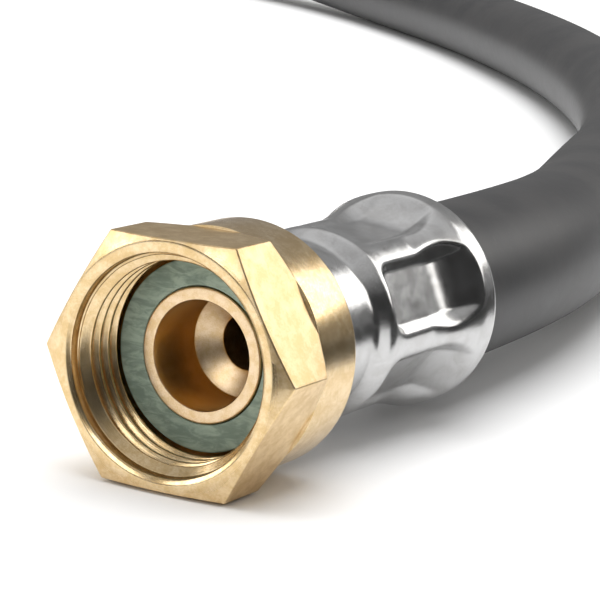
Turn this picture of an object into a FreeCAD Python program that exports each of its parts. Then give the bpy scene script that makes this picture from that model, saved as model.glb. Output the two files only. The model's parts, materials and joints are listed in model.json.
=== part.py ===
import FreeCAD, Part
import math
import os
import Sketcher

# A flexible rubber connection hose with the same swivel-nut fitting crimped on each end.
# Row frame, millimetres: +Z up, Z = 0 is the surface that the hose and both nuts lie on. The near
# fitting's axis runs along Y at the nut collar's radius above it, its mouth faces -Y, and the
# origin is under the middle of that fitting. Stations along a fitting are measured from
# its middle, positive towards the hose.

driving = {
    # union nut, for a G 3/4 pipe thread
    "acrossFlats": 30.0,
    "mouthStation": -29.0,
    "rimRadius": 14.75,
    "frontChamferLength": 0.85,
    "frontChamferDepth": 2.7,
    "hexRearStation": -20.9,
    "rearChamferDepth": 1.95,
    "collarFrontStation": -19.0,
    "collarRadius": 15.4,
    "collarRearStation": -10.4,
    "collarEdge": 0.5,
    "mouthChamferRadius": 13.7,
    "mouthReliefRadius": 13.3,
    "mouthChamferLength": 0.4,
    "mouthReliefLength": 1.5,
    "threadLeadIn": 1.0,
    "threadMinorRadius": 12.06,
    "threadEndStation": -21.1,
    "undercutRadius": 12.4,
    "nutShoulderStation": -16.0,
    "nutBoreRadius": 8.9,
    # flat fibre gasket round the tail's nose
    "gasketRadius": 11.75,
    "gasketHoleRadius": 8.35,
    "gasketFrontStation": -20.8,
    "gasketRearStation": -18.82,
    # hose tail
    "noseRadius": 8.25,
    "noseStation": -21.0,
    "noseEdge": 0.25,
    "flangeRadius": 11.7,
    "flangeFrontStation": -18.8,
    "flangeRearStation": -16.3,
    "neckRadius": 8.6,
    "neckRearStation": -7.0,
    "spigotRadius": 6.1,
    "barbRadius": 6.5,
    "barbPitch": 4.5,
    "barbStep": 0.2,
    "spigotEdge": 1.0,
    "firstBarbStation": 10.0,
    "tailRearStation": 27.0,
    "counterboreRadius": 6.72,
    "counterboreEndStation": -12.0,
    "coneEndStation": -10.3,
    "waterwayRadius": 3.55,
    # crimped ferrule
    "ferruleFrontStation": -9.4,
    "ferruleNeckRadius": 11.0,
    "ferruleNeckEdge": 0.5,
    "ferruleNeckEndStation": 1.8,
    "ferruleShoulderStation": 4.4,
    "ferruleWallShift": 2.0,
    "ferruleCrimpRadius": 12.5,
    "ferruleCrimpEndStation": 14.0,
    "ferruleCrimpEndRadius": 12.8,
    "ferruleFlareStation": 20.0,
    "ferruleFlareRadius": 13.9,
    "ferruleBellStation": 24.0,
    "ferruleBellRadius": 14.6,
    "ferruleRimStation": 29.0,
    "ferruleRimEdge": 0.7,
    "ferruleMouthRadius": 13.3,
    "ferruleNeckBoreRadius": 9.8,
    "ferruleLip": 1.2,
    "panelCount": 6,
    "panelWidth": 10.2,
    "panelStart": 5.3,
    "panelEnd": 22.0,
    "panelFloor": 11.65,
    "panelPhase": 7.7,
    # hose: rubber liner, textile reinforcement, rubber cover
    "hoseRadius": 11.25,
    "coverBoreRadius": 9.1,
    "linerRadius": 8.3,
    "hoseBoreRadius": 6.5,
    "hoseEndStation": 8.0,
    "exitRun": 52.0,
    "farHeading": 60.0,
    # how far a cutting outline runs past what it cuts, and how deep joined outlines overlap
    "cutReach": 6.0,
    "cutOverrun": 1.0,
    "joinOverlap": 0.5,
}

# Bends of the hose's route on the surface, from the near fitting to the far one: X, Y, Z.
hoseRest = 11.3
routeBends = [
    (0.0, 60.0, 15.4),
    (-12.5, 113.0, 12.6),
    (-29.0, 160.0, hoseRest),
    (-45.0, 212.5, hoseRest),
    (-68.5, 268.0, hoseRest),
    (-99.5, 325.0, hoseRest),
    (-138.0, 384.0, hoseRest),
    (-180.5, 439.0, hoseRest),
    (-226.5, 492.0, hoseRest),
    (-276.0, 541.5, hoseRest),
    (-321.0, 581.0, 12.6),
    (-365.5, 613.5, 15.4),
]
bendShare = 0.45
onAxis = "0"

doc = FreeCAD.newDocument("ConnectionHose")
sheet = doc.addObject("Spreadsheet::Sheet", "Sizes")
for row, (alias, value) in enumerate(driving.items(), start=1):
    sheet.set(f"A{row}", alias)
    sheet.set(f"B{row}", str(value))
    sheet.setAlias(f"B{row}", alias)
doc.recompute()


def size(alias):
    return float(getattr(sheet, alias))


def evaluate(expression):
    """Value of a sum of sheet aliases and numbers, such as 'mouthStation - cutOverrun'."""
    return float(sheet.evalExpression(expression))


def bound(expression):
    """The same expression with each alias written as a reference to the sheet."""
    words = []
    for word in expression.split():
        words.append(f"Sizes.{word}" if word in driving else word)
    return " ".join(words)


def originFeature(body, role):
    return next(item for item in body.Origin.OriginFeatures if item.Role == role)


def newBody(label):
    body = doc.addObject("PartDesign::Body", label)
    body.Label = label
    return body


def newSketch(body, name, role):
    sketch = body.newObject("Sketcher::SketchObject", name)
    sketch.AttachmentSupport = [(originFeature(body, role), "")]
    sketch.MapMode = "FlatFace"
    return sketch


def pinVertex(sketch, edge, across, along):
    """Hold an edge's first end at its two distances from the sketch's origin, or on its upright axis."""
    for kind, expression in (("DistanceX", across), ("DistanceY", along)):
        if expression == onAxis:
            sketch.addConstraint(Sketcher.Constraint("PointOnObject", edge, 1, -2))
            continue
        index = sketch.addConstraint(Sketcher.Constraint(kind, -1, 1, edge, 1, evaluate(expression)))
        sketch.setExpression(f"Constraints[{index}]", bound(expression))


def outline(sketch, corners):
    """A closed outline of straight edges through corners, each a pair of expressions."""
    places = [FreeCAD.Vector(evaluate(a), evaluate(b), 0) for a, b in corners]
    count = len(places)
    first = sketch.GeometryCount
    for i in range(count):
        sketch.addGeometry(Part.LineSegment(places[i], places[(i + 1) % count]), False)
    for i in range(count):
        sketch.addConstraint(Sketcher.Constraint("Coincident", first + i, 2, first + (i + 1) % count, 1))
    for i, (across, along) in enumerate(corners):
        pinVertex(sketch, first + i, across, along)


def turned(body, kind, name, corners):
    """Turn an outline of (radius, station) corners about the body's Z axis."""
    sketch = newSketch(body, name + "Sketch", "XZ_Plane")
    outline(sketch, corners)
    feature = body.newObject(kind, name)
    feature.Profile = sketch
    feature.ReferenceAxis = (sketch, ["V_Axis"])
    feature.Angle = 360.0
    doc.recompute()
    return feature


def checkedCut(body, name, before):
    """A cut that points the wrong way removes nothing, so its volume is compared."""
    removed = before - body.Shape.Volume
    if removed < 1.0:
        raise RuntimeError(f"{body.Label}: {name} removed {removed:.2f} mm3")


def groove(body, name, corners):
    before = body.Shape.Volume
    turned(body, "PartDesign::Groove", name, corners)
    checkedCut(body, name, before)


def makeUnionNut(label):
    """Hexagon with both ends chamfered, a round collar behind it, and a bore stepped for the tail."""
    body = newBody(label)
    hexagon = newSketch(body, "HexSketch", "XY_Plane")
    corner = size("acrossFlats") / math.sqrt(3)
    points = [FreeCAD.Vector(corner * math.cos(math.radians(60 * k)),
                             corner * math.sin(math.radians(60 * k)), 0) for k in range(6)]
    for k in range(6):
        hexagon.addGeometry(Part.LineSegment(points[k], points[(k + 1) % 6]), False)
    for k in range(6):
        hexagon.addConstraint(Sketcher.Constraint("Coincident", k, 2, (k + 1) % 6, 1))
    circle = hexagon.addGeometry(Part.Circle(FreeCAD.Vector(), FreeCAD.Vector(0, 0, 1), corner), True)
    hexagon.addConstraint(Sketcher.Constraint("Coincident", circle, 3, -1, 1))
    for k in range(6):
        hexagon.addConstraint(Sketcher.Constraint("PointOnObject", k, 1, circle))
    for k in range(5):
        hexagon.addConstraint(Sketcher.Constraint("Equal", k, k + 1))
    hexagon.addConstraint(Sketcher.Constraint("PointOnObject", 0, 1, -1))
    across = hexagon.addConstraint(Sketcher.Constraint("Radius", circle, corner))
    hexagon.setExpression(f"Constraints[{across}]", "Sizes.acrossFlats / sqrt(3)")
    hexagon.setExpression("AttachmentOffset.Base.z", "Sizes.mouthStation")
    pad = body.newObject("PartDesign::Pad", "Hexagon")
    pad.Profile = hexagon
    pad.setExpression("Length", "Sizes.collarFrontStation - Sizes.mouthStation")
    doc.recompute()
    groove(body, "FrontChamfer", [
        ("rimRadius", "mouthStation"),
        ("rimRadius + frontChamferDepth", "mouthStation + frontChamferLength"),
        ("rimRadius + cutReach", "mouthStation + frontChamferLength"),
        ("rimRadius + cutReach", "mouthStation - cutOverrun"),
        ("rimRadius", "mouthStation - cutOverrun"),
    ])
    groove(body, "RearChamfer", [
        ("collarRadius + rearChamferDepth", "hexRearStation"),
        ("collarRadius + cutReach", "hexRearStation"),
        ("collarRadius + cutReach", "collarFrontStation + cutOverrun"),
        ("collarRadius", "collarFrontStation + cutOverrun"),
        ("collarRadius", "collarFrontStation"),
    ])
    turned(body, "PartDesign::Revolution", "Collar", [
        ("nutBoreRadius - cutOverrun", "collarFrontStation - joinOverlap"),
        ("collarRadius", "collarFrontStation - joinOverlap"),
        ("collarRadius", "collarRearStation - collarEdge"),
        ("collarRadius - collarEdge", "collarRearStation"),
        ("nutBoreRadius - cutOverrun", "collarRearStation"),
    ])
    groove(body, "Bore", [
        (onAxis, "mouthStation - cutOverrun"),
        ("mouthChamferRadius + mouthChamferLength", "mouthStation - cutOverrun"),
        ("mouthChamferRadius + mouthChamferLength", "mouthStation"),
        ("mouthReliefRadius", "mouthStation + mouthChamferLength"),
        ("mouthReliefRadius", "mouthStation + mouthReliefLength"),
        ("threadMinorRadius", "mouthStation + mouthReliefLength + threadLeadIn"),
        ("threadMinorRadius", "threadEndStation"),
        ("undercutRadius", "threadEndStation"),
        ("undercutRadius", "nutShoulderStation"),
        ("nutBoreRadius", "nutShoulderStation"),
        ("nutBoreRadius", "collarRearStation + cutOverrun"),
        (onAxis, "collarRearStation + cutOverrun"),
    ])
    return body


def makeGasket(label):
    body = newBody(label)
    turned(body, "PartDesign::Revolution", "Washer", [
        ("gasketHoleRadius", "gasketFrontStation"),
        ("gasketRadius", "gasketFrontStation"),
        ("gasketRadius", "gasketRearStation"),
        ("gasketHoleRadius", "gasketRearStation"),
    ])
    return body


def makeHoseTail(label):
    """Nose ring, flange that the gasket seats on, neck that the nut turns on, barbed spigot."""
    barbs = []
    station = size("firstBarbStation")
    while station + size("barbPitch") <= size("tailRearStation"):
        offset = station - size("firstBarbStation")
        barbs.append(("barbRadius", f"firstBarbStation + {offset:g}"))
        barbs.append(("spigotRadius", f"firstBarbStation + {offset:g} + barbPitch - barbStep"))
        station += size("barbPitch")
    body = newBody(label)
    turned(body, "PartDesign::Revolution", "TurnedTail", [
        ("counterboreRadius", "noseStation"),
        ("noseRadius - noseEdge", "noseStation"),
        ("noseRadius", "noseStation + noseEdge"),
        ("noseRadius", "flangeFrontStation"),
        ("flangeRadius", "flangeFrontStation"),
        ("flangeRadius", "flangeRearStation"),
        ("neckRadius", "flangeRearStation"),
        ("neckRadius", "neckRearStation"),
        ("spigotRadius", "neckRearStation + spigotEdge"),
        ("spigotRadius", "firstBarbStation - barbStep"),
        *barbs,
        ("spigotRadius", "tailRearStation - spigotEdge"),
        ("spigotRadius - spigotEdge", "tailRearStation"),
        ("waterwayRadius", "tailRearStation"),
        ("waterwayRadius", "coneEndStation"),
        ("counterboreRadius", "counterboreEndStation"),
    ])
    return body


def makeFerrule(label):
    """Thin sleeve: narrow neck, shoulder, crimped barrel with flat panels, flared bell."""
    body = newBody(label)
    turned(body, "PartDesign::Revolution", "Sleeve", [
        ("neckRadius", "ferruleFrontStation"),
        ("ferruleNeckRadius - ferruleNeckEdge", "ferruleFrontStation"),
        ("ferruleNeckRadius", "ferruleFrontStation + ferruleNeckEdge"),
        ("ferruleNeckRadius", "ferruleNeckEndStation"),
        ("ferruleCrimpRadius", "ferruleShoulderStation"),
        ("ferruleCrimpEndRadius", "ferruleCrimpEndStation"),
        ("ferruleFlareRadius", "ferruleFlareStation"),
        ("ferruleBellRadius", "ferruleBellStation"),
        ("ferruleBellRadius", "ferruleRimStation - ferruleRimEdge"),
        ("ferruleBellRadius - ferruleRimEdge", "ferruleRimStation"),
        ("ferruleMouthRadius", "ferruleRimStation"),
        ("hoseRadius", "ferruleFlareStation"),
        ("hoseRadius", "ferruleShoulderStation + ferruleWallShift"),
        ("ferruleNeckBoreRadius", "ferruleNeckEndStation + ferruleWallShift"),
        ("ferruleNeckBoreRadius", "ferruleFrontStation + ferruleLip"),
        ("neckRadius", "ferruleFrontStation + ferruleLip"),
    ])
    panel = newSketch(body, "PanelSketch", "XZ_Plane")
    corners = [("0 - panelWidth / 2", "panelStart"), ("panelWidth / 2", "panelStart"),
               ("panelWidth / 2", "panelEnd"), ("0 - panelWidth / 2", "panelEnd")]
    outline(panel, corners)
    panel.setExpression("AttachmentOffset.Base.z", "Sizes.panelFloor")
    doc.recompute()
    before = body.Shape.Volume
    pocket = body.newObject("PartDesign::Pocket", "Panel")
    pocket.Profile = panel
    pocket.Reversed = True
    pocket.setExpression("Length", "Sizes.cutReach")
    doc.recompute()
    checkedCut(body, "Panel", before)
    pattern = body.newObject("PartDesign::PolarPattern", "Panels")
    pattern.Originals = [pocket]
    pattern.Axis = (originFeature(body, "Z_Axis"), [""])
    pattern.Angle = 360.0
    pattern.setExpression("Occurrences", "Sizes.panelCount")
    body.Tip = pattern
    doc.recompute()
    return body


def routePoints():
    """The hose's points: its end inside the near ferrule, each bend, its end inside the far one."""
    points = [FreeCAD.Vector(0, size("hoseEndStation"), size("collarRadius"))]
    points += [FreeCAD.Vector(*bend) for bend in routeBends]
    points.append(points[-1] + farDirection() * size("exitRun"))
    return points


def farDirection():
    turn = math.radians(size("farHeading"))
    return FreeCAD.Vector(-math.sin(turn), math.cos(turn), 0)


def routeWire(points):
    """Straight runs joined by tangent arcs; each arc takes bendShare of its shorter run."""
    edges = []
    radii = []
    start = points[0]
    for before, corner, after in zip(points, points[1:], points[2:]):
        arriving = (corner - before).normalize()
        leaving = (after - corner).normalize()
        turn = arriving.getAngle(leaving)
        reach = bendShare * min((corner - before).Length, (after - corner).Length)
        radius = reach / math.tan(turn / 2)
        arcStart = corner - arriving * reach
        arcEnd = corner + leaving * reach
        centreLine = (leaving - arriving).normalize()
        centre = corner + centreLine * (radius / math.cos(turn / 2))
        middle = centre - centreLine * radius
        edges.append(Part.LineSegment(start, arcStart).toShape())
        edges.append(Part.Arc(arcStart, middle, arcEnd).toShape())
        radii.append(radius)
        start = arcEnd
    edges.append(Part.LineSegment(start, points[-1]).toShape())
    return Part.Wire(edges), radii


def makeRod(name, spine, alias):
    """A solid rod of one radius along the hose's route."""
    circle = doc.addObject("Part::Circle", name + "Circle")
    circle.setExpression("Radius", f"Sizes.{alias}")
    circle.Placement = FreeCAD.Placement(spine.Shape.Edges[0].valueAt(0),
                                         FreeCAD.Rotation(FreeCAD.Vector(1, 0, 0), -90))
    rod = doc.addObject("Part::Sweep", name)
    rod.Sections = [circle]
    rod.Spine = (spine, [f"Edge{i + 1}" for i in range(len(spine.Shape.Edges))])
    rod.Solid = True
    doc.recompute()
    return rod


def makeTube(label, outer, inner):
    tube = doc.addObject("Part::Cut", label)
    tube.Label = label
    tube.Base = outer
    tube.Tool = inner
    return tube


axisHeight = size("collarRadius")
alongY = FreeCAD.Rotation(FreeCAD.Vector(1, 0, 0), -90)
points = routePoints()
farExit = points[-1] - farDirection() * (size("ferruleRimStation") - size("hoseEndStation"))
farTurn = FreeCAD.Rotation(FreeCAD.Vector(0, 0, 1), 180 + size("farHeading"))
farMiddle = farExit + farDirection() * size("ferruleRimStation")
fittingPlaces = {
    "near": FreeCAD.Placement(FreeCAD.Vector(0, 0, axisHeight), alongY),
    "far": FreeCAD.Placement(farMiddle, farTurn.multiply(alongY)),
}
crimpTurn = FreeCAD.Placement(FreeCAD.Vector(),
                              FreeCAD.Rotation(FreeCAD.Vector(0, 0, 1), size("panelPhase")))

subparts = []
for end, place in fittingPlaces.items():
    for make, piece in ((makeUnionNut, "union_nut"), (makeGasket, "gasket"),
                        (makeHoseTail, "hose_tail"), (makeFerrule, "crimp_ferrule")):
        body = make(f"{end}_{piece}")
        body.Placement = place.multiply(crimpTurn) if make is makeFerrule else place
        subparts.append(body)

spine = doc.addObject("Part::Feature", "HoseRoute")
spine.Shape, bendRadii = routeWire(points)
rods = {alias: makeRod(alias + "Rod", spine, alias)
        for alias in ("hoseRadius", "coverBoreRadius", "linerRadius", "hoseBoreRadius")}
subparts.append(makeTube("hose_cover", rods["hoseRadius"], rods["coverBoreRadius"]))
subparts.append(makeTube("hose_braid", rods["coverBoreRadius"], rods["linerRadius"]))
subparts.append(makeTube("hose_liner", rods["linerRadius"], rods["hoseBoreRadius"]))
doc.recompute()

for item in doc.Objects:
    if "Invalid" in item.State or "Error" in item.State:
        raise RuntimeError(f"{item.Label} failed: {item.State}")
for item in subparts:
    if item.Shape.isNull() or not item.Shape.isValid() or len(item.Shape.Solids) != 1:
        raise RuntimeError(f"{item.Label} is not one valid solid")

routeLength = spine.Shape.Length
print("route length", round(routeLength, 1), "bend radii", [round(r) for r in bendRadii])
for alias, rod in rods.items():
    expected = math.pi * size(alias) ** 2 * routeLength
    print(alias, "rod volume over section times length", round(rod.Shape.Volume / expected, 4))

os.makedirs("parts", exist_ok=True)
for item in subparts:
    item.Shape.exportStep(f"parts/{item.Label}.step")
    box = item.Shape.BoundBox
    print(item.Label, "volume", round(item.Shape.Volume), "box",
          [round(v, 2) for v in (box.XMin, box.XMax, box.YMin, box.YMax, box.ZMin, box.ZMax)])
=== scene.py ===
import json
import math

import bpy
import numpy as np
from mathutils import Matrix, Vector


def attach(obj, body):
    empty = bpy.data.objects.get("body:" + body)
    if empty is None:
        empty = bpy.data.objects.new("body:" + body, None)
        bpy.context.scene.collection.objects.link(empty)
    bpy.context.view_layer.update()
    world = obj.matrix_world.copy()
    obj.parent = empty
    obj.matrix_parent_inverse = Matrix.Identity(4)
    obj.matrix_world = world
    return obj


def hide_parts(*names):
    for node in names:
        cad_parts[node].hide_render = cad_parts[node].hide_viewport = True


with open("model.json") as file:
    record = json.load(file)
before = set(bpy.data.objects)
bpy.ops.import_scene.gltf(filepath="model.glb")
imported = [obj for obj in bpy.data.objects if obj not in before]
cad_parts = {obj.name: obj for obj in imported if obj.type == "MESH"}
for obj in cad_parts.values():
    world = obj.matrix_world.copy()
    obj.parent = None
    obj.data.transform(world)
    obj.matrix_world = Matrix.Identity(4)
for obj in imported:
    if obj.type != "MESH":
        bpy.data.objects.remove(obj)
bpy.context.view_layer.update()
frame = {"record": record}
millimetre = 0.001
print("frame loaded")


# The camera and the hose come first: how far the hose spreads outside the view depends on both.
cameraSizes = {
    "position": (0.15473, -0.26624, 0.08051),
    "azimuth": 30.0,       # degrees, 0 looks along +Y
    "elevation": 11.27,
    "roll": 3.02,
    "lens": 150.6,         # mm on a 36 mm sensor
}


def addCamera(sizes):
    turn, lift = math.radians(sizes["azimuth"]), math.radians(sizes["elevation"])
    forward = Vector((-math.sin(turn) * math.cos(lift), math.cos(turn) * math.cos(lift), -math.sin(lift)))
    data = bpy.data.cameras.new("studioCamera")
    data.lens = sizes["lens"]
    data.sensor_width = 36.0
    data.clip_start, data.clip_end = 0.01, 60.0
    camera = bpy.data.objects.new("studioCamera", data)
    bpy.context.scene.collection.objects.link(camera)
    facing = forward.to_track_quat("-Z", "Y").to_matrix().to_4x4()
    level = Matrix.Rotation(math.radians(sizes["roll"]), 4, "Z")
    camera.matrix_world = Matrix.Translation(sizes["position"]) @ facing @ level
    bpy.context.scene.camera = camera


hoseSizes = {
    "diameter": 0.0225,
    "points": [             # metres, from inside the near ferrule to inside the far one
        (0.0, 0.0225, 0.0154), (0.0, 0.060, 0.0154), (-0.0125, 0.113, 0.0126), (-0.029, 0.160, 0.0113),
        (-0.045, 0.2125, 0.0113), (-0.0685, 0.268, 0.0113), (-0.0995, 0.325, 0.0113),
        (-0.138, 0.384, 0.0113), (-0.1805, 0.439, 0.0113), (-0.2265, 0.492, 0.0113),
        (-0.276, 0.5415, 0.0113), (-0.321, 0.581, 0.0126), (-0.3655, 0.6135, 0.0154),
        (-0.39798, 0.63225, 0.0154),
    ],
    "ringsPerPoint": 26,
    "roundness": 22,
}


def addHose(sizes):
    data = bpy.data.curves.new("rubberHose", "CURVE")
    data.dimensions = "3D"
    spline = data.splines.new("NURBS")
    spline.points.add(len(sizes["points"]) - 1)
    for point, place in zip(spline.points, sizes["points"]):
        point.co = (*place, 1.0)
    spline.order_u = 3
    spline.use_endpoint_u = True
    spline.resolution_u = sizes["ringsPerPoint"]
    data.bevel_depth = sizes["diameter"] / 2
    data.bevel_resolution = sizes["roundness"]
    data.use_fill_caps = True
    hose = bpy.data.objects.new("rubberHose", data)
    bpy.context.scene.collection.objects.link(hose)
    return hose


addCamera(cameraSizes)
hose = addHose(hoseSizes)
print("camera and hose placed")


fittingSizes = {            # a fitting's stations are in mm along its axis, towards the hose
    "threadMiddle": -23.8,  # where its thread mount is; 0 is the fitting's middle
}


def fittingPlace(end):
    # The fitting's axes in rows (across, down, towards the hose) and its middle, from its thread mount.
    mount = next(m for m in frame["record"]["mounts"] if m["name"] == f"{end}_nut_thread")
    towardsHose = -Vector(mount["axis"]).normalized()
    across = towardsHose.cross(Vector((0, 0, 1))).normalized()
    down = towardsHose.cross(across)
    middle = Vector(mount["pos_m"]) - towardsHose * fittingSizes["threadMiddle"] * millimetre
    return np.array([across, down, towardsHose]), np.array(middle)


def smoothStep(start, end, value):
    # 3t^2 - 2t^3, where t runs from 0 at start to 1 at end
    t = np.clip((value - start) / (end - start), 0, 1)
    return t * t * (3 - 2 * t)


def filleted(corners, reach, steps=4):
    # An open profile whose inner corners are rounded. Each corner V becomes the curve
    # (1-t)^2 A + 2t(1-t) V + t^2 B, with A and B at reach from V on its two sides, or at 0.45 of a
    # side that is short, so that neighbouring curves don't meet.
    # corners: rows of (station, radius), each a number or one value for each column.
    width = max(np.size(value) for corner in corners for value in corner)
    points = np.array([[np.broadcast_to(value, width) for value in corner] for corner in corners], float)
    t = np.linspace(0, 1, steps + 1)[:, None, None]
    rows = [points[:1]]
    for before, corner, after in zip(points, points[1:], points[2:]):
        sides = []
        for other in (before, after):
            gap = other - corner
            length = np.maximum(np.hypot(*gap), 1e-9)
            sides.append(corner + gap / length * np.minimum(reach, 0.45 * length))
        rows.append((1 - t) ** 2 * sides[0] + 2 * t * (1 - t) * corner + t ** 2 * sides[1])
    rows.append(points[-1:])
    return np.concatenate(rows)


def ringMesh(name, place, station, radius, angle, finish=0.0):
    # A closed ring: x = r cos a, y = r sin a, z = s in the fitting's axes, where r and s are grids of
    # rows round the section and columns round the axis. The places in mm and the share of milled
    # finish are kept as attributes for the materials.
    axes, middle = place
    rows, columns = radius.shape
    local = np.stack([radius * np.cos(angle), radius * np.sin(angle), station + 0 * radius], axis=-1)
    points = local.reshape(-1, 3)
    index = np.arange(rows * columns).reshape(rows, columns)
    right = np.roll(index, -1, axis=1)
    faces = np.stack([index, right, np.roll(right, -1, axis=0), np.roll(index, -1, axis=0)], axis=-1)
    faces = faces.reshape(-1, 4)
    a, b, c, d = (points[faces[:, k]] for k in range(4))
    volume = np.einsum("ij,ij->i", a, np.cross(b, c)) + np.einsum("ij,ij->i", a, np.cross(c, d))
    if volume.sum() < 0:
        faces = faces[:, ::-1]
    mesh = bpy.data.meshes.new(name)
    mesh.from_pydata(points @ axes * millimetre + middle, [], faces.tolist())
    mesh.polygons.foreach_set("use_smooth", np.ones(len(faces), bool))
    fitted = mesh.attributes.new("fitting", "FLOAT_VECTOR", "POINT")
    fitted.data.foreach_set("vector", points.astype(np.float32).ravel())
    milled = mesh.attributes.new("milled", "FLOAT", "POINT")
    milled.data.foreach_set("value", (finish + 0 * radius).astype(np.float32).ravel())
    mesh.update()
    piece = bpy.data.objects.new(name, mesh)
    bpy.context.scene.collection.objects.link(piece)
    return piece


nutSizes = {                # mm: radii, and stations along the axis
    "flat": 15.0,           # half the width across flats
    "cornerRound": 0.3,
    "mouth": -29.0,
    "rim": 14.7,
    "chamferSlope": 3.18,
    "rearSlope": 1.03,
    "collarFront": -19.0,
    "collar": 15.4,
    "collarRear": -10.4,
    "collarEdge": 0.5,
    "neckBore": 8.9,
    "shoulder": -16.0,
    "undercut": 12.4,
    "relief": 13.3,
    "reliefEnd": -27.4,
    "leadIn": 1.0,
    "mouthEdge": 13.95,     # bore at the mouth's face
    "mouthChamfer": 0.35,
    "faceStart": 14.25,     # where the section starts and ends on that face
    "pitch": 1.814,
    "crest": 12.06,
    "fullCrest": 11.88,
    "root": 13.2,
    "threadEnd": -20.5,
    "threadFade": 0.5,
    "runOut": 0.1,          # plain bore just past the thread's ends
    "threadPhase": 0.47,
    "sharpness": 0.95,
    "rowsPerPitch": 26,
    "flatColumns": 40,
    "cornerColumns": 9,
    "edgeReach": 0.2,
}


def hexOutline(sizes):
    # Six flats at one distance from the axis, joined by arcs: angle and radius of each column.
    flat, arc = sizes["flat"], sizes["cornerRound"]
    halfLength = (flat - arc) * math.tan(math.radians(30))
    along = np.linspace(-halfLength, halfLength, sizes["flatColumns"])
    turn = np.radians(np.linspace(0, 60, sizes["cornerColumns"] + 2))[1:-1]
    x = np.concatenate([np.full(along.size, flat), flat - arc + arc * np.cos(turn)])
    y = np.concatenate([along, halfLength + arc * np.sin(turn)])
    side = np.radians(30 + 60 * np.arange(6))[:, None]
    angle = (np.arctan2(y, x) + side).ravel()
    return angle, np.tile(np.hypot(x, y), 6)


def threadRadius(sizes, station, angle):
    # Right-hand internal thread: a rounded triangle wave asin(k cos u) / asin(k) in the phase
    # u = 2 pi s / pitch - a, cut off at the bored crest. It opens into the relief towards the mouth
    # and fades into the undercut at its inner end.
    sharp = sizes["sharpness"]
    phase = 2 * np.pi * (station / sizes["pitch"] + sizes["threadPhase"]) - angle
    wave = np.arcsin(sharp * np.cos(phase)) / math.asin(sharp)
    middle = (sizes["root"] + sizes["fullCrest"]) / 2
    radius = middle + (sizes["root"] - sizes["fullCrest"]) / 2 * wave
    opening = sizes["relief"] - (station - sizes["reliefEnd"]) / sizes["leadIn"] * (
        sizes["relief"] - sizes["crest"])
    radius = np.maximum(np.maximum(radius, sizes["crest"]), np.minimum(opening, sizes["relief"]))
    fade = smoothStep(sizes["threadEnd"] - sizes["threadFade"], sizes["threadEnd"], station)
    return radius * (1 - fade) + sizes["undercut"] * fade


def makeUnionNut(name, place, sizes):
    # The section is carried round the axis: outside, collar and bore as a filleted profile whose
    # radius follows the hexagon's flats and corners, then the thread r(s, a), then the open mouth.
    angle, hexagon = hexOutline(sizes)
    mouth, rim, reach = sizes["mouth"], sizes["rim"], sizes["edgeReach"]
    frontEnd = mouth + (hexagon - rim) / sizes["chamferSlope"]
    rearStart = sizes["collarFront"] - np.maximum(hexagon - sizes["collar"], 0) / sizes["rearSlope"]
    outside = filleted([
        (mouth, sizes["faceStart"]),
        (mouth, rim),
        (frontEnd, hexagon),
        (rearStart, hexagon),
        (sizes["collarFront"], sizes["collar"]),
        (sizes["collarRear"] - sizes["collarEdge"], sizes["collar"]),
        (sizes["collarRear"], sizes["collar"] - sizes["collarEdge"]),
        (sizes["collarRear"], sizes["neckBore"]),
        (sizes["shoulder"], sizes["neckBore"]),
        (sizes["shoulder"], sizes["undercut"]),
        (sizes["threadEnd"] + 2 * sizes["runOut"], sizes["undercut"]),
    ], reach)
    threadStart = sizes["reliefEnd"] - sizes["runOut"]
    count = round((sizes["threadEnd"] - threadStart) / sizes["pitch"] * sizes["rowsPerPitch"])
    threadStation = np.linspace(sizes["threadEnd"], threadStart, count)[:, None]
    thread = threadRadius(sizes, threadStation, angle[None, :])
    inside = filleted([
        (threadStart - 1.5 * sizes["runOut"], sizes["relief"]),
        (mouth + sizes["mouthChamfer"], sizes["relief"]),
        (mouth, sizes["mouthEdge"]),
        (mouth, sizes["faceStart"]),
    ], reach)[:-1]
    inside = np.broadcast_to(inside, (*inside.shape[:2], angle.size))
    station = np.concatenate([outside[:, 0], np.broadcast_to(threadStation, thread.shape), inside[:, 0]])
    radius = np.concatenate([outside[:, 1], thread, inside[:, 1]])
    edge = sizes["cornerRound"]
    onHexagon = (station > frontEnd - edge) & (station < rearStart + edge / 3) & (
        radius > sizes["flat"] - sizes["edgeReach"])
    return ringMesh(name, place, station, radius, angle, onHexagon)


tailSizes = {
    "nose": 8.25,
    "noseFront": -21.0,
    "noseEdge": 0.14,
    "counterbore": 6.72,
    "counterboreEnd": -12.0,
    "coneEnd": -10.35,
    "waterway": 3.55,
    "flange": 11.7,
    "flangeFront": -18.8,
    "flangeRear": -16.3,
    "neck": 8.6,
    "neckRear": -7.0,
    "spigot": 6.1,
    "barb": 6.5,
    "firstBarb": 10.0,
    "barbPitch": 4.5,
    "barbStep": 0.2,
    "rear": 27.0,
    "rearChamfer": 1.0,
    "seam": 0.05,           # the profile starts and ends this far apart on the nose
    "rowLength": 1.0,
    "columns": 224,
    "edgeReach": 0.12,
}
gasketSizes = {
    "outer": 11.75,
    "hole": 8.36,
    "front": -20.8,
    "rear": -18.82,
    "seam": 0.05,
    "rowLength": 0.4,
    "columns": 224,
    "edgeReach": 0.3,
    "waviness": 0.05,
    "wavePhase": 0.7,
}


def evenAngles(columns):
    return np.arange(columns) * 2 * np.pi / columns


def subdivided(profile, spacing):
    # Rows added along a closed profile so that none is longer than spacing.
    ends = np.roll(profile, -1, axis=0)
    rows = []
    for start, end in zip(profile, ends):
        count = max(1, math.ceil(np.hypot(*(end - start))[0] / spacing))
        t = (np.arange(count) / count)[:, None, None]
        rows.append(start * (1 - t) + end * t)
    return np.concatenate(rows)


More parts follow.
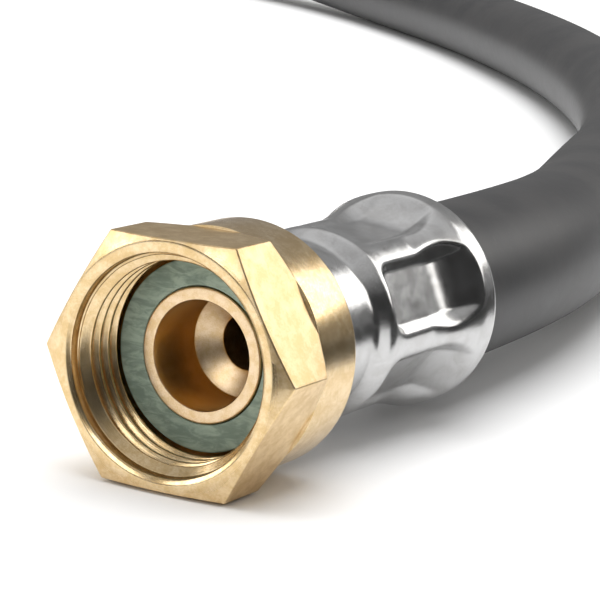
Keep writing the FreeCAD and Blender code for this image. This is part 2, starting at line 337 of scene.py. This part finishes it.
def makeHoseTail(name, place, sizes):
    # A turned section carried round the axis, with saw-tooth barbs along its spigot.
    pitch, step = sizes["barbPitch"], sizes["barbStep"]
    barbs = []
    for start in np.arange(sizes["firstBarb"], sizes["rear"] - pitch + step / 20, pitch):
        barbs.append((start, sizes["barb"]))
        barbs.append((start + pitch - step, sizes["spigot"]))
    middle = (sizes["nose"] + sizes["counterbore"]) / 2
    profile = filleted([
        (sizes["noseFront"], middle),
        (sizes["noseFront"], sizes["nose"] - sizes["noseEdge"]),
        (sizes["noseFront"] + sizes["noseEdge"], sizes["nose"]),
        (sizes["flangeFront"], sizes["nose"]),
        (sizes["flangeFront"], sizes["flange"]),
        (sizes["flangeRear"], sizes["flange"]),
        (sizes["flangeRear"], sizes["neck"]),
        (sizes["neckRear"], sizes["neck"]),
        (sizes["neckRear"] + sizes["rearChamfer"], sizes["spigot"]),
        (sizes["firstBarb"] - step, sizes["spigot"]),
        *barbs,
        (sizes["rear"] - sizes["rearChamfer"], sizes["spigot"]),
        (sizes["rear"], sizes["spigot"] - sizes["rearChamfer"]),
        (sizes["rear"], sizes["waterway"]),
        (sizes["coneEnd"], sizes["waterway"]),
        (sizes["counterboreEnd"], sizes["counterbore"]),
        (sizes["noseFront"], sizes["counterbore"]),
        (sizes["noseFront"], middle - sizes["seam"]),
    ], sizes["edgeReach"])
    profile = subdivided(profile, sizes["rowLength"])
    angle = evenAngles(sizes["columns"])
    grid = np.broadcast_to(profile, (len(profile), 2, angle.size))
    return ringMesh(name, place, grid[:, 0], grid[:, 1], angle)


def makeGasket(name, place, sizes):
    # A flat ring with soft edges. Its front face sinks by w (1 + sin(3a + p)) / 2 at the angle a, and
    # its rear face stays flat.
    middle = (sizes["outer"] + sizes["hole"]) / 2
    profile = filleted([
        (sizes["front"], middle),
        (sizes["front"], sizes["outer"]),
        (sizes["rear"], sizes["outer"]),
        (sizes["rear"], sizes["hole"]),
        (sizes["front"], sizes["hole"]),
        (sizes["front"], middle - sizes["seam"]),
    ], sizes["edgeReach"])
    profile = subdivided(profile, sizes["rowLength"])
    angle = evenAngles(sizes["columns"])
    grid = np.broadcast_to(profile, (len(profile), 2, angle.size))
    share = (sizes["rear"] - grid[:, 0]) / (sizes["rear"] - sizes["front"])
    wave = (1 + np.sin(3 * angle + sizes["wavePhase"])) / 2
    station = grid[:, 0] + sizes["waviness"] * share * wave
    return ringMesh(name, place, station, grid[:, 1], angle)


ferruleSizes = {
    "front": -9.4,
    "neck": 11.0,
    "neckEnd": 1.9,
    "neckRound": 0.5,       # the pressing fades out this far in front of the neck's end
    "shoulder": 4.2,
    "crimp": 12.45,
    "crimpEnd": 15.5,
    "flareEnd": 21.5,
    "flare": 13.7,
    "bellStart": 25.5,
    "bell": 14.45,
    "rear": 29.0,
    "cornerReach": 0.75,
    "cornerSteps": 6,
    "mouth": 13.1,
    "hose": 11.3,           # bore behind the panels, clear of the hose
    "grip": 21.6,           # where that bore starts to narrow
    "gripSlope": 1.5,
    "gripBore": 10.3,       # bore under the panels
    "neckBore": 9.8,
    "tailBore": 8.62,
    "lip": 1.2,
    "wall": 2.0,
    "seam": 0.1,            # the profile starts and ends this far apart on the front face
    "rimReach": 0.01,       # rows this near the bell's rim end the outside
    "panels": 6,
    "phase": 37.7,          # degrees from the across axis to a panel's middle
    "floor": 10.95,
    "floorHalfWidth": 3.75,
    "floorStart": 6.3,
    "floorEnd": 17.8,
    "cornerRound": 1.3,
    "wallSlope": 0.55,
    "frontSlope": 1.3,
    "scoopRound": 9.0,
    "foldSoftness": 0.10,
    "ridgeSoftness": 0.16,
    "columns": 296,
    "rowLength": 0.31,
}


def barrelProfile(sizes):
    # The sleeve's turned section before it is pressed: outside to the bell's rim, then back inside.
    return filleted([
        (sizes["front"], sizes["tailBore"] + sizes["lip"] / 2),
        (sizes["front"], sizes["neck"]),
        (sizes["neckEnd"], sizes["neck"]),
        (sizes["shoulder"], sizes["crimp"]),
        (sizes["crimpEnd"], sizes["crimp"]),
        (sizes["flareEnd"], sizes["flare"]),
        (sizes["bellStart"], sizes["bell"]),
        (sizes["rear"], sizes["bell"]),
        (sizes["rear"], sizes["mouth"]),
        (sizes["grip"] + sizes["gripSlope"], sizes["hose"]),
        (sizes["grip"], sizes["gripBore"]),
        (sizes["shoulder"] + sizes["wall"], sizes["gripBore"]),
        (sizes["neckEnd"] + sizes["wall"], sizes["neckBore"]),
        (sizes["front"] + sizes["lip"], sizes["neckBore"]),
        (sizes["front"] + sizes["lip"], sizes["tailBore"]),
        (sizes["front"], sizes["tailBore"]),
        (sizes["front"], sizes["tailBore"] + sizes["lip"] / 2 - sizes["seam"]),
    ], sizes["cornerReach"], sizes["cornerSteps"])


def makeFerrule(name, place, sizes):
    # A turned sleeve r(s) pressed by flat jaws. A jaw's face lies at the height
    # f + k (sqrt(d^2 + e^2) - e) + c above the axis: f is the floor, d the distance outside the
    # floor's rounded outline, k the wall's slope, e the fold's softness, and c = (s - s1)^2 / 2R the
    # scoop behind the floor's end s1. The sleeve is the softened smaller of r(s) and that height
    # over cos(b), b being the angle from the jaw's middle.
    profile = subdivided(barrelProfile(sizes), sizes["rowLength"])
    angle = evenAngles(sizes["columns"])
    grid = np.broadcast_to(profile, (len(profile), 2, angle.size))
    station, radius = grid[:, 0], grid[:, 1]
    rim = np.argmax(profile[:, 0, 0] > sizes["rear"] - sizes["rimReach"])
    outer = (np.arange(len(profile)) < rim)[:, None]
    step = 2 * np.pi / sizes["panels"]
    offset = (angle - math.radians(sizes["phase"]) + step / 2) % step - step / 2
    corner = sizes["cornerRound"]
    across = np.maximum(np.abs(radius * np.sin(offset)) - sizes["floorHalfWidth"] + corner, 0)
    along = np.maximum(sizes["floorStart"] + corner - station, 0)
    outside = np.maximum(np.hypot(across, along) - corner, 0)
    frontShare = along / (along + across + 1e-6)
    slope = sizes["wallSlope"] + (sizes["frontSlope"] - sizes["wallSlope"]) * frontShare
    fold = sizes["foldSoftness"]
    scoop = np.maximum(station - sizes["floorEnd"], 0) ** 2 / (2 * sizes["scoopRound"])
    jaw = sizes["floor"] + slope * (np.sqrt(outside ** 2 + fold ** 2) - fold) + scoop
    pressed = jaw / np.cos(offset)
    soft = sizes["ridgeSoftness"]
    shaped = (radius + pressed - np.sqrt((radius - pressed) ** 2 + 4 * soft ** 2)) / 2
    pressedShare = smoothStep(sizes["neckEnd"] - sizes["neckRound"], sizes["shoulder"], station)
    shaped = radius * (1 - pressedShare) + shaped * pressedShare
    return ringMesh(name, place, station, np.where(outer, shaped, radius), angle)


pieces = {}
for end in ("near", "far"):
    place = fittingPlace(end)
    pieces[end] = {
        "union_nut": makeUnionNut(end + "UnionNut", place, nutSizes),
        "gasket": makeGasket(end + "Gasket", place, gasketSizes),
        "hose_tail": makeHoseTail(end + "HoseTail", place, tailSizes),
        "crimp_ferrule": makeFerrule(end + "CrimpFerrule", place, ferruleSizes),
    }
    print(end, "fitting made", {key: len(piece.data.polygons) for key, piece in pieces[end].items()})


class Wire:
    # one value inside a node tree; arithmetic on it adds Math nodes
    def __init__(self, shader, socket):
        self.shader = shader
        self.socket = socket

    def calculate(self, operation, *values):
        return self.shader.node("ShaderNodeMath", {"operation": operation}, dict(enumerate(values)))

    def __add__(self, other):
        return self.calculate("ADD", self, other)

    def __radd__(self, other):
        return self.calculate("ADD", other, self)

    def __sub__(self, other):
        return self.calculate("SUBTRACT", self, other)

    def __rsub__(self, other):
        return self.calculate("SUBTRACT", other, self)

    def __mul__(self, other):
        return self.calculate("MULTIPLY", self, other)

    def __rmul__(self, other):
        return self.calculate("MULTIPLY", other, self)

    def clamped(self):
        return self.calculate("MAXIMUM", self.calculate("MINIMUM", self, 1.0), 0.0)

    def ramp(self, low, high):
        # 0 below low, 1 above high, smooth between
        return self.shader.node("ShaderNodeMapRange", {"interpolation_type": "SMOOTHSTEP"},
                                {"Value": self, "From Min": low, "From Max": high})


class Shader:
    def __init__(self, owner):
        owner.use_nodes = True
        self.owner = owner
        self.tree = owner.node_tree
        self.tree.nodes.clear()

    def node(self, kind, settings=None, inputs=None, output=0):
        item = self.tree.nodes.new(kind)
        for key, value in (settings or {}).items():
            setattr(item, key, value)
        for key, value in (inputs or {}).items():
            if isinstance(value, Wire):
                self.tree.links.new(value.socket, item.inputs[key])
            else:
                item.inputs[key].default_value = value
        return Wire(self, item.outputs[output]) if item.outputs else None

    def attribute(self, name, output="Vector"):
        return self.node("ShaderNodeAttribute", {"attribute_name": name}, output=output)

    def parts(self, vector):
        split = self.node("ShaderNodeSeparateXYZ", inputs={0: vector}).socket.node
        return [Wire(self, socket) for socket in split.outputs]

    def vector(self, x, y, z):
        return self.node("ShaderNodeCombineXYZ", inputs={0: x, 1: y, 2: z})

    def noise(self, vector, scale, detail, roughness, distortion=0.0):
        return self.node("ShaderNodeTexNoise", inputs={
            "Vector": vector, "Scale": scale, "Detail": detail, "Roughness": roughness,
            "Distortion": distortion})

    def mix(self, factor, first, second):
        return self.node("ShaderNodeMix", {"data_type": "RGBA"}, {0: factor, 6: first, 7: second}, output=2)

    def bump(self, height, distance, strength):
        return self.node("ShaderNodeBump", inputs={
            "Height": height, "Distance": distance, "Strength": strength})

    def surface(self, **inputs):
        names = {key.replace("_", " "): value for key, value in inputs.items()}
        shader = self.node("ShaderNodeBsdfPrincipled", inputs=names)
        self.node("ShaderNodeOutputMaterial", inputs={"Surface": shader})
        return self.owner


def newShader(name):
    return Shader(bpy.data.materials.new(name))


def turnedMarks(shader, fitted, scale):
    # fine rings left by a lathe tool: noise that changes with radius and station, hardly with angle
    x, y, station = shader.parts(fitted)
    radius = shader.node("ShaderNodeMath", {"operation": "POWER"}, {0: x * x + y * y, 1: 0.5})
    return shader.noise(shader.vector(radius, station, x * 0.004), scale, 2.0, 0.65)


brassSizes = {
    "light": (0.87, 0.68, 0.42, 1.0),
    "deep": (0.70, 0.50, 0.25, 1.0),
    "stain": (0.46, 0.29, 0.12, 1.0),
    "stainAmount": 0.55,
    "cloudScale": 0.55,     # patterns per mm of the fitting
    "grainScale": 3.2,
    "speckScale": 9.0,
    "ringScale": 5.0,
    "toneRange": (0.38, 0.66),
    "speckRange": (0.70, 0.80),
    "millRoughness": 0.27,
    "turnRoughness": 0.17,
    "bumpDepth": 0.000012,  # metres
    "bumpStrength": 0.7,
}


def makeBrass(name, sizes):
    # milled flats are grainy and specked, turned faces carry the lathe's rings
    shader = newShader(name)
    fitted = shader.attribute("fitting")
    milled = shader.attribute("milled", "Fac")
    rings = turnedMarks(shader, fitted, sizes["ringScale"])
    cloud = shader.noise(fitted, sizes["cloudScale"], 5.0, 0.6, 0.4)
    grain = shader.noise(fitted, sizes["grainScale"], 4.0, 0.7)
    specks = shader.noise(fitted, sizes["speckScale"], 2.0, 0.6)
    tone = (cloud * 0.65 + grain * 0.35).ramp(*sizes["toneRange"])
    colour = shader.mix(tone, sizes["deep"], sizes["light"])
    pits = (specks.ramp(*sizes["speckRange"]) * milled).clamped()
    colour = shader.mix(pits * sizes["stainAmount"], colour, sizes["stain"])
    millRough = sizes["millRoughness"] + grain * 0.16 + cloud * 0.06
    turnRough = sizes["turnRoughness"] + rings * 0.12
    rough = milled * millRough + (1 - milled) * turnRough
    height = milled * (grain * 0.7 + specks * 0.3) + (1 - milled) * rings
    return shader.surface(Base_Color=colour, Metallic=1.0, Roughness=rough,
                          Normal=shader.bump(height, sizes["bumpDepth"], sizes["bumpStrength"]))


tailBrassSizes = {
    "light": (0.88, 0.69, 0.48, 1.0),
    "deep": (0.74, 0.53, 0.28, 1.0),
    "bore": (0.68, 0.46, 0.16, 1.0),
    "boreAmount": 0.75,
    "boreEdge": 0.1,        # mm
    "cloudScale": 0.9,
    "grainScale": 6.0,
    "ringScale": 6.5,
    "toneRange": (0.36, 0.66),
    "roughness": 0.24,
    "bumpDepth": 0.000014,
    "bumpStrength": 0.8,
}


def makeTailBrass(name, sizes):
    # turned all over, and deeper in colour between the nose's face and the cone
    shader = newShader(name)
    fitted = shader.attribute("fitting")
    station = shader.parts(fitted)[2]
    rings = turnedMarks(shader, fitted, sizes["ringScale"])
    cloud = shader.noise(fitted, sizes["cloudScale"], 4.0, 0.6)
    grain = shader.noise(fitted, sizes["grainScale"], 3.0, 0.6)
    tone = (cloud * 0.6 + grain * 0.4).ramp(*sizes["toneRange"])
    colour = shader.mix(tone, sizes["deep"], sizes["light"])
    start, end, edge = tailSizes["noseFront"], tailSizes["counterboreEnd"], sizes["boreEdge"]
    inside = station.ramp(start + edge, start + 4 * edge) * (1 - station.ramp(end - edge, end + edge))
    colour = shader.mix(inside * sizes["boreAmount"], colour, sizes["bore"])
    rough = sizes["roughness"] + rings * 0.12 + grain * 0.06
    height = rings * 0.8 + grain * 0.2
    return shader.surface(Base_Color=colour, Metallic=1.0, Roughness=rough,
                          Normal=shader.bump(height, sizes["bumpDepth"], sizes["bumpStrength"]))


gasketColours = {
    "light": (0.37, 0.455, 0.36, 1.0),
    "dark": (0.20, 0.265, 0.205, 1.0),
    "fibre": (0.50, 0.56, 0.46, 1.0),
    "fibreAmount": 0.5,
    "stretch": 0.35,        # the marks run along one way of the sheet that the gasket was cut from
    "cloudScale": 0.9,
    "fibreScale": 5.0,
    "toneRange": (0.36, 0.66),
    "fibreRange": (0.60, 0.78),
    "roughness": 0.62,
    "bumpDepth": 0.00006,
    "bumpStrength": 0.8,
}


def makeGasketFibre(name, sizes):
    shader = newShader(name)
    x, y, station = shader.parts(shader.attribute("fitting"))
    stretched = shader.vector(x * sizes["stretch"], y, station)
    cloud = shader.noise(stretched, sizes["cloudScale"], 5.0, 0.62, 0.6)
    fibre = shader.noise(stretched, sizes["fibreScale"], 4.0, 0.7)
    colour = shader.mix(cloud.ramp(*sizes["toneRange"]), sizes["dark"], sizes["light"])
    strands = fibre.ramp(*sizes["fibreRange"]) * sizes["fibreAmount"]
    colour = shader.mix(strands, colour, sizes["fibre"])
    height = cloud * 0.4 + fibre * 0.6
    return shader.surface(Base_Color=colour, Roughness=sizes["roughness"] + cloud * 0.2,
                          Normal=shader.bump(height, sizes["bumpDepth"], sizes["bumpStrength"]))


chromeSizes = {
    "tone": (0.60, 0.60, 0.60, 1.0),
    "haze": (0.50, 0.495, 0.49, 1.0),
    "cloudScale": 0.35,
    "grainScale": 4.5,
    "waveScale": 0.5,
    "toneRange": (0.35, 0.62),
    "roughness": 0.13,
    "bumpDepth": 0.00005,
    "bumpStrength": 0.6,
}


def makeChrome(name, sizes):
    # thin plating on pressed sheet: slow waves from the pressing, a little haze and grain
    shader = newShader(name)
    fitted = shader.attribute("fitting")
    cloud = shader.noise(fitted, sizes["cloudScale"], 4.0, 0.55, 0.5)
    grain = shader.noise(fitted, sizes["grainScale"], 3.0, 0.6)
    waves = shader.noise(fitted, sizes["waveScale"], 1.0, 0.4)
    tone = (cloud * 0.7 + grain * 0.3).ramp(*sizes["toneRange"])
    colour = shader.mix(tone, sizes["haze"], sizes["tone"])
    rough = sizes["roughness"] + cloud * 0.12 + grain * 0.05
    height = waves * 0.85 + grain * 0.15
    return shader.surface(Base_Color=colour, Metallic=1.0, Roughness=rough,
                          Normal=shader.bump(height, sizes["bumpDepth"], sizes["bumpStrength"]))


rubberColours = {
    "light": (0.040, 0.039, 0.039, 1.0),
    "dark": (0.026, 0.026, 0.027, 1.0),
    "dust": (0.15, 0.145, 0.14, 1.0),
    "dustAmount": 0.35,
    "cloudScale": 70.0,     # patterns per metre of the hose
    "grainScale": 1500.0,
    "scuffScale": 260.0,
    "toneRange": (0.35, 0.65),
    "scuffRange": (0.62, 0.80),
    "roughness": 0.36,
    "bumpDepth": 0.00005,
    "bumpStrength": 0.35,
}


def makeRubber(name, sizes):
    shader = newShader(name)
    place = shader.node("ShaderNodeTexCoord", output="Object")
    cloud = shader.noise(place, sizes["cloudScale"], 4.0, 0.55)
    grain = shader.noise(place, sizes["grainScale"], 3.0, 0.6)
    scuffs = shader.noise(place, sizes["scuffScale"], 4.0, 0.7, 0.8)
    colour = shader.mix(cloud.ramp(*sizes["toneRange"]), sizes["dark"], sizes["light"])
    dusty = scuffs.ramp(*sizes["scuffRange"]) * sizes["dustAmount"]
    colour = shader.mix(dusty, colour, sizes["dust"])
    rough = sizes["roughness"] + cloud * 0.12 + scuffs * 0.08
    height = grain * 0.5 + scuffs * 0.5
    return shader.surface(Base_Color=colour, Roughness=rough,
                          Normal=shader.bump(height, sizes["bumpDepth"], sizes["bumpStrength"]))


def paint(piece, material):
    piece.data.materials.clear()
    piece.data.materials.append(material)


brass = makeBrass("milledBrass", brassSizes)
tailBrass = makeTailBrass("turnedBrass", tailBrassSizes)
fibre = makeGasketFibre("gasketFibre", gasketColours)
chrome = makeChrome("brightChrome", chromeSizes)
rubber = makeRubber("satinRubber", rubberColours)
finishes = {
    "union_nut": (brass, "brass_nut"),
    "gasket": (fibre, "fibre_gasket"),
    "hose_tail": (tailBrass, "brass_tail"),
    "crimp_ferrule": (chrome, "chrome_ferrule"),
}
print("materials made")


# What each piece rides on and stands for
bodyOf = {node: body for body, nodes in frame["record"]["behaviour"]["bodies"].items() for node in nodes}
for end, made in pieces.items():
    for kind, piece in made.items():
        material, slot = finishes[kind]
        paint(piece, material)
        node = f"{end}_{kind}"
        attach(piece, bodyOf[node])
        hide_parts(node)
paint(hose, rubber)
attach(hose, "hose")
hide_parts("hose_cover", "hose_braid", "hose_liner")
print("pieces placed on their bodies")


studio = {
    "floorTone": 0.86,
    "floorHalf": 9.0,
    "lights": [             # name, position, target, width, height, watts, colour, seen in gloss
        ("keySoftbox", (0.62, 1.05, 0.60), (0.0, 0.0, 0.0), 0.95, 0.55, 4.2, (1.0, 0.98, 0.95), True),
        ("topSoftbox", (-0.15, 0.25, 1.7), (-0.15, 0.25, 0.0), 1.9, 1.9, 38.0, (1.0, 1.0, 1.0), False),
        ("leftSoftbox", (-1.15, -0.75, 0.50), (0.0, 0.0, 0.0), 0.9, 0.6, 5.0, (1.0, 0.99, 0.97), True),
        ("frontSoftbox", (-0.25, -1.50, 0.70), (0.0, 0.0, 0.0), 0.8, 0.6, 5.0, (1.0, 1.0, 1.0), True),
    ],
    "flags": [              # dark cards seen only in reflections: low x, y to high x, y, height
        ("backFlag", (0.045, 0.01), (1.4, 2.4), 0.001),
        ("frontFlag", (0.0, -0.9), (0.6, -0.075), 0.001),
    ],
    "worldLow": 0.05,       # strength of the sky all round
    "worldTop": 0.72,       # added overhead
    "topRise": (0.45, 0.9),
    "worldBack": 0.34,      # added on the side away from the camera
    "backSide": (-0.6, 0.8),
    "backRise": (-0.1, 0.7),
}


def addSheet(name, low, high, height):
    mesh = bpy.data.meshes.new(name)
    corners = [(low[0], low[1]), (high[0], low[1]), (high[0], high[1]), (low[0], high[1])]
    mesh.from_pydata([(x, y, height) for x, y in corners], [], [(0, 1, 2, 3)])
    sheet = bpy.data.objects.new(name, mesh)
    bpy.context.scene.collection.objects.link(sheet)
    return sheet


def addFloor(sizes):
    half, tone = sizes["floorHalf"], sizes["floorTone"]
    floor = addSheet("floor", (-half, -half), (half, half), 0.0)
    paint(floor, newShader("paleFloor").surface(Base_Color=(tone, tone, tone, 1.0), Roughness=0.9,
                                                Specular_IOR_Level=0.1))


def addFlag(name, low, high, height):
    flag = addSheet(name, low, high, height)
    paint(flag, newShader(name).surface(Base_Color=(0.01, 0.01, 0.01, 1.0), Roughness=1.0))
    flag.visible_camera = False
    flag.visible_diffuse = False
    flag.visible_shadow = False
    flag.visible_transmission = False


def addLight(name, position, target, width, height, watts, colour, inGloss):
    data = bpy.data.lights.new(name, "AREA")
    data.shape = "RECTANGLE"
    data.size, data.size_y = width, height
    data.energy = watts
    data.color = colour
    light = bpy.data.objects.new(name, data)
    bpy.context.scene.collection.objects.link(light)
    aim = (Vector(target) - Vector(position)).to_track_quat("-Z", "Y").to_matrix().to_4x4()
    light.matrix_world = Matrix.Translation(position) @ aim
    light.visible_camera = False
    light.visible_glossy = inGloss


def addWorld(sizes):
    world = bpy.data.worlds.new("studioWorld")
    bpy.context.scene.world = world
    shader = Shader(world)
    x, y, height = shader.parts(shader.node("ShaderNodeTexCoord", output="Generated"))
    backX, backY = sizes["backSide"]
    level = sizes["worldLow"] + height.ramp(*sizes["topRise"]) * sizes["worldTop"]
    level = level + (x * backX + y * backY).ramp(*sizes["backRise"]) * sizes["worldBack"]
    light = shader.node("ShaderNodeBackground", inputs={"Strength": level})
    shader.node("ShaderNodeOutputWorld", inputs={"Surface": light})


addFloor(studio)
for flag in studio["flags"]:
    addFlag(*flag)
for light in studio["lights"]:
    addLight(*light)
addWorld(studio)
bpy.context.scene.view_settings.view_transform = "Standard"
print("floor and light set")
